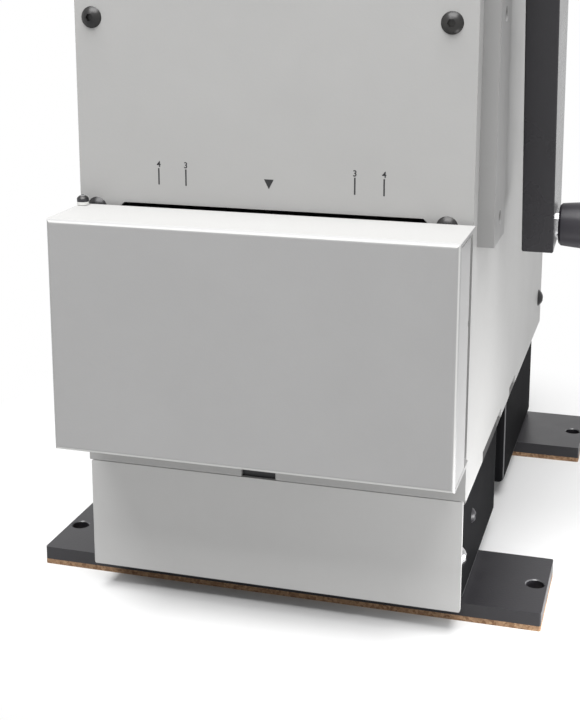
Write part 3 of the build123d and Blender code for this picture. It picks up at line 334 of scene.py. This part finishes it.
def foot_coat():
    """Black, with a painted highlight where the faces round the top of the foot bars slope."""
    material = coat("black_coat_foot", BLACK, BLACK_WORN, 0.3, 0.32, 0.46)
    # Painted highlight on the sloped top edges and rims.
    change_where(material, turned(material, "Z", 1, 0.3, 0.9, 0.05), (0.09, 0.09, 0.094, 1), 0.25)
    return material


def pin_oxide():
    """Black oxide, with a painted highlight on the flat ends of the hinge pins."""
    material = metal("black_oxide_pin", OXIDE, OXIDE_STAIN, low=0.28, high=0.4, metallic=0.6)
    ends = reach(material, "Normal", "Z", 0.88, 0.94, both_ways=True)
    # Painted highlight: the flat ends are painted light grey.
    change_where(material, ends, (0.4, 0.4, 0.41, 1), 0.3)
    return material


def hinge_nylon():
    """White nylon, but for the dark steel washer on top of the stack."""
    material = coat("hinge_nylon", NYLON, NYLON_WORN, 0.1, 0.4, 0.5)
    washer_height = 1.4 * MM
    steel_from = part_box("hinge_washers")[1].z - washer_height
    steel = reach(material, "Object", "Z", steel_from - 0.01 * MM, steel_from)
    change_where(material, steel, (0.02, 0.02, 0.024, 1), 0.35)
    return material


# The finish of each material slot
BLACK_COAT = coat("black_powder_coat", BLACK, BLACK_WORN, 0.3, 0.32, 0.46)
SLOT_FINISH = {
    "grey_coat": coat("grey_powder_coat", GREY, GREY_WORN),
    "black_coat": BLACK_COAT,
    "cork": cork_material(),
    "black_oxide": metal("black_oxide", OXIDE, OXIDE_STAIN, low=0.28, high=0.4, metallic=0.6),
    "chrome": metal("chrome", (0.78, 0.78, 0.79, 1), (0.66, 0.66, 0.67, 1), 0.04, 0.08, 0.16),
    "nylon": coat("white_nylon", NYLON, NYLON_WORN, 0.1, 0.4, 0.5),
    "magnet": coat("moulded_black", (0.018, 0.018, 0.019, 1), (0.04, 0.04, 0.04, 1), 0.2, 0.4, 0.5),
    "ground_steel": metal("ground_steel", (0.46, 0.46, 0.47, 1), (0.3, 0.29, 0.28, 1)),
    "gear_steel": metal("hardened_steel", (0.24, 0.24, 0.25, 1), (0.12, 0.11, 0.1, 1), 0.3),
    "bronze": metal("sintered_bronze", (0.5, 0.29, 0.11, 1), (0.3, 0.17, 0.07, 1), 0.1),
    "grip_plastic": coat("grip_plastic", (0.023, 0.021, 0.027, 1), (0.042, 0.04, 0.047, 1), 0.12, 0.3, 0.38),
}

# The nodes that have a finish of their own
RISER, FOOT = riser_coat(), foot_coat()
OWN_FINISH = {
    "front_riser": RISER,
    "rear_riser": RISER,
    "foot_bar_front": FOOT,
    "foot_bar_rear": FOOT,
    "riser_side_screws": BLACK_COAT,
    "cabinet_wrap": wrap_coat(),
    "door_guard": door_coat(),
    "floor_plate": floor_coat(),
    "hinge_pins": pin_oxide(),
    "hinge_washers": hinge_nylon(),
    "front_skirt": coat("grey_coat_skirt", (0.53, 0.528, 0.522, 1), (0.57, 0.568, 0.562, 1), low=0.4),
    "side_rail": coat("grey_coat_rail", (0.3, 0.298, 0.296, 1), (0.33, 0.328, 0.326, 1)),
    # Painted reflections: the dark streaks and patches in this chrome stand in for the dark bands it
    # reflects.
    "skirt_screws": metal("chrome_painted_reflections", (0.72, 0.72, 0.73, 1), (0.06, 0.06, 0.065, 1), 0.5, 0.1, 0.22),
    "crank_arm": coat(
        "black_coat_satin", BLACK, BLACK_WORN, 0.25, 0.24, 0.32, Sheen_Weight=0.12, Sheen_Roughness=0.25,
    ),
}
INK = coat("printed_ink", (0.012, 0.012, 0.014, 1), (0.03, 0.03, 0.03, 1), 0.2, 0.5, 0.6)


# The CAD nodes
EDGE_TURN = math.radians(50)
EDGE_ROUNDS = {
    "front_panel": 0.35 * MM, "cabinet_wrap": 0.3 * MM, "front_skirt": 0.4 * MM, "rear_cover": 0.3 * MM,
    "door_guard": 0.25 * MM, "side_rail": 0.4 * MM, "foot_bar_front": 0.5 * MM, "foot_bar_rear": 0.5 * MM,
    "front_riser": 0.3 * MM, "rear_riser": 0.3 * MM, "crank_arm": 0.25 * MM, "floor_plate": 0.25 * MM,
    "hinge_bracket": 0.25 * MM, "catch_magnet": 0.2 * MM, "press_plate_left": 0.4 * MM,
    "press_plate_right": 0.4 * MM, "bed_plate": 0.4 * MM, "back_stop": 0.4 * MM, "crosshead": 0.4 * MM,
    "top_tie_bars": 0.4 * MM, "ram_guide": 0.4 * MM, "drive_support": 0.3 * MM, "ram": 0.2 * MM,
}


def paint_nodes():
    """Give each CAD node its own finish, or the one of its material slot."""
    for part in frame["record"]["subparts"]:
        obj = nodes[part["node"]]
        obj.data.materials.clear()
        obj.data.materials.append(OWN_FINISH.get(part["node"], SLOT_FINISH[part["material_slot"]]))


def round_edges():
    """Break the sharp edges of the larger nodes, so that they catch the light."""
    for name, width in EDGE_ROUNDS.items():
        bevel = nodes[name].modifiers.new("edge_round", "BEVEL")
        bevel.width = width
        bevel.segments = 2
        bevel.limit_method = "ANGLE"
        bevel.angle_limit = EDGE_TURN
        bevel.harden_normals = False


paint_nodes()
round_edges()


# Printed marks, whose lines start LINE_FOOT above the panel's lower edge
PANEL_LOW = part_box("front_panel")[0]
INK_STAND = 0.04 * MM
LINE_FOOT = 133.2 * MM
LINE_HEIGHT = 7.3 * MM
LINE_WIDTH = 0.66 * MM
NUMBER_GAP = 0.6 * MM
NUMBER_HEIGHT = 2.6 * MM
NUMBER_SHARE_OF_TYPE = 0.7
NUMBER_SWELL = 0.06 * MM
TRIANGLE_RISE = 0.5 * MM
TRIANGLE_HEIGHT = 4.2 * MM
TRIANGLE_WIDTH = 4.4 * MM
DRIVE_WIDTHS = (3, 4)


def printed_piece(name, data):
    """An object of printed ink that stays with the cabinet."""
    obj = bpy.data.objects.new(name, data)
    bpy.context.scene.collection.objects.link(obj)
    obj.data.materials.clear()
    obj.data.materials.append(INK)
    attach(obj, "cabinet")


def mark_outline(name, points):
    """A thin printed shape on the front panel, from points in X and Z."""
    mesh = bmesh.new()
    corners = [mesh.verts.new((x, PANEL_LOW.y - INK_STAND, z)) for x, z in points]
    face = mesh.faces.new(corners)
    grown = bmesh.ops.extrude_face_region(mesh, geom=[face])
    moved = [item for item in grown["geom"] if isinstance(item, bmesh.types.BMVert)]
    bmesh.ops.translate(mesh, verts=moved, vec=(0, INK_STAND, 0))
    bmesh.ops.recalc_face_normals(mesh, faces=mesh.faces)
    data = bpy.data.meshes.new(name)
    mesh.to_mesh(data)
    mesh.free()
    printed_piece(name, data)


def mark_numeral(name, words, x, z):
    """A plain numeral printed on the front panel, its foot at z."""
    curve = bpy.data.curves.new(name, "FONT")
    curve.body = words
    curve.align_x = "CENTER"
    curve.size = NUMBER_HEIGHT / NUMBER_SHARE_OF_TYPE
    curve.extrude = INK_STAND / 2
    curve.offset = NUMBER_SWELL
    letter = bpy.data.objects.new(name + "_text", curve)
    bpy.context.scene.collection.objects.link(letter)
    bpy.context.view_layer.update()
    data = bpy.data.meshes.new_from_object(letter.evaluated_get(bpy.context.evaluated_depsgraph_get()))
    bpy.data.objects.remove(letter)
    data.name = name
    upright = Matrix.Rotation(math.pi / 2, 4, "X")
    data.transform(Matrix.Translation((x, PANEL_LOW.y - INK_STAND / 2, z)) @ upright)
    printed_piece(name, data)


def drive_marks():
    """Lines and numerals for two drive widths, and a centre triangle."""
    foot = PANEL_LOW.z + LINE_FOOT
    head = foot + LINE_HEIGHT
    for inches in DRIVE_WIDTHS:
        for side, hand in ((-1, "left"), (1, "right")):
            middle = side * inches * INCH / 2
            left, right = middle - LINE_WIDTH / 2, middle + LINE_WIDTH / 2
            outline = [(left, foot), (right, foot), (right, head), (left, head)]
            mark_outline(f"width_line_{inches}_{hand}", outline)
            mark_numeral(f"width_number_{inches}_{hand}", str(inches), middle, head + NUMBER_GAP)
    tip = foot + TRIANGLE_RISE
    top, half = tip + TRIANGLE_HEIGHT, TRIANGLE_WIDTH / 2
    mark_outline("centre_triangle", [(0, tip), (half, top), (-half, top)])


drive_marks()


# Floor
FLOOR_HALF = 6.0
FLOOR_LIT = (0.5, 0.5, 0.5, 1)
FLOOR_SEEN = (0.88, 0.88, 0.88, 1)
SHADOW_REACH = 0.15
SHADOW_END = 0.27


def seen_rays(tree):
    """1 for the rays that show the background: to the camera, off metal and through glass."""
    rays = tree.nodes.new("ShaderNodeLightPath")
    seen = math_node(tree, "MAXIMUM", rays.outputs["Is Camera Ray"], rays.outputs["Is Glossy Ray"])
    return math_node(tree, "MAXIMUM", seen, rays.outputs["Is Transmission Ray"])


def make_floor():
    """A pale floor that keeps the shadow near the machine and runs out to plain white."""
    mesh = bmesh.new()
    bmesh.ops.create_grid(mesh, x_segments=1, y_segments=1, size=FLOOR_HALF)
    data = bpy.data.meshes.new("floor")
    mesh.to_mesh(data)
    mesh.free()
    floor = bpy.data.objects.new("floor", data)
    bpy.context.scene.collection.objects.link(floor)
    material, tree, shader, place = new_material("floor", Roughness=0.9, Specular_IOR_Level=0.1)
    seen = seen_rays(tree)
    tree.links.new(mix_colour(tree, seen, FLOOR_LIT, FLOOR_SEEN), shader.inputs["Base Color"])
    away = add_node(tree, "ShaderNodeVectorMath", {"operation": "LENGTH"}, i0=place).outputs["Value"]
    plain = math_node(tree, "MULTIPLY", spread(tree, away, SHADOW_REACH, SHADOW_END), seen)
    white = add_node(tree, "ShaderNodeEmission", None, Color=WHITE, Strength=1.0)
    mixed = add_node(tree, "ShaderNodeMixShader", None, i0=plain, i1=shader.outputs[0], i2=white.outputs[0])
    tree.links.new(mixed.outputs[0], tree.nodes["Material Output"].inputs["Surface"])
    floor.data.materials.append(material)


make_floor()

# Lamps: place, what they face, width and height, watts
LAMPS = {
    "overhead": ((0.02, -0.55, 1.55), (0, -0.1, 0.15), (1.5, 1.2), 51),
    "low_right": ((0.2, -0.135, 0.03), (0.089, -0.13, 0.085), (0.12, 0.04), 0.25),
}
WORLD_STRENGTH = 0.35


def make_lamps():
    """A wide soft lamp overhead, and a small one that lights the lower right wall."""
    for name, (place, target, size, watts) in LAMPS.items():
        data = bpy.data.lights.new(name, "AREA")
        data.shape = "RECTANGLE"
        data.size, data.size_y = size
        data.energy = watts
        lamp = bpy.data.objects.new(name, data)
        bpy.context.scene.collection.objects.link(lamp)
        lamp.location = place
        lamp.rotation_euler = (Vector(target) - Vector(place)).to_track_quat("-Z", "Y").to_euler()


def make_world():
    """Soft light from all round, which shows as plain white."""
    world = bpy.data.worlds.new("studio")
    bpy.context.scene.world = world
    world.use_nodes = True
    tree = world.node_tree
    tree.nodes.clear()
    seen = seen_rays(tree)
    dim = add_node(tree, "ShaderNodeBackground", None, Color=WHITE, Strength=WORLD_STRENGTH)
    white = add_node(tree, "ShaderNodeBackground", None, Color=WHITE, Strength=1.0)
    mixed = add_node(tree, "ShaderNodeMixShader", None, i0=seen, i1=dim.outputs[0], i2=white.outputs[0])
    out = tree.nodes.new("ShaderNodeOutputWorld")
    tree.links.new(mixed.outputs[0], out.inputs[0])


make_lamps()
make_world()

# The photograph's view, found from the straight edges of the panel, the door and the feet
CAMERA_PLACE = (0.1686, -0.6905, 0.3005)
CAMERA_YAW = math.radians(16.4)
CAMERA_PITCH = math.radians(-12.5)
CAMERA_LENS = 66.565
CAMERA_SENSOR = 36
CAMERA_SHIFT = -0.1626


def make_camera():
    """The camera at the photograph's viewing angle."""
    data = bpy.data.cameras.new("camera")
    data.sensor_width = CAMERA_SENSOR
    data.lens = CAMERA_LENS
    data.shift_y = CAMERA_SHIFT
    camera = bpy.data.objects.new("camera", data)
    bpy.context.scene.collection.objects.link(camera)
    camera.location = CAMERA_PLACE
    camera.rotation_euler = (math.pi / 2 + CAMERA_PITCH, 0, CAMERA_YAW)
    bpy.context.scene.camera = camera


make_camera()
bpy.context.scene.view_settings.view_transform = "Standard"
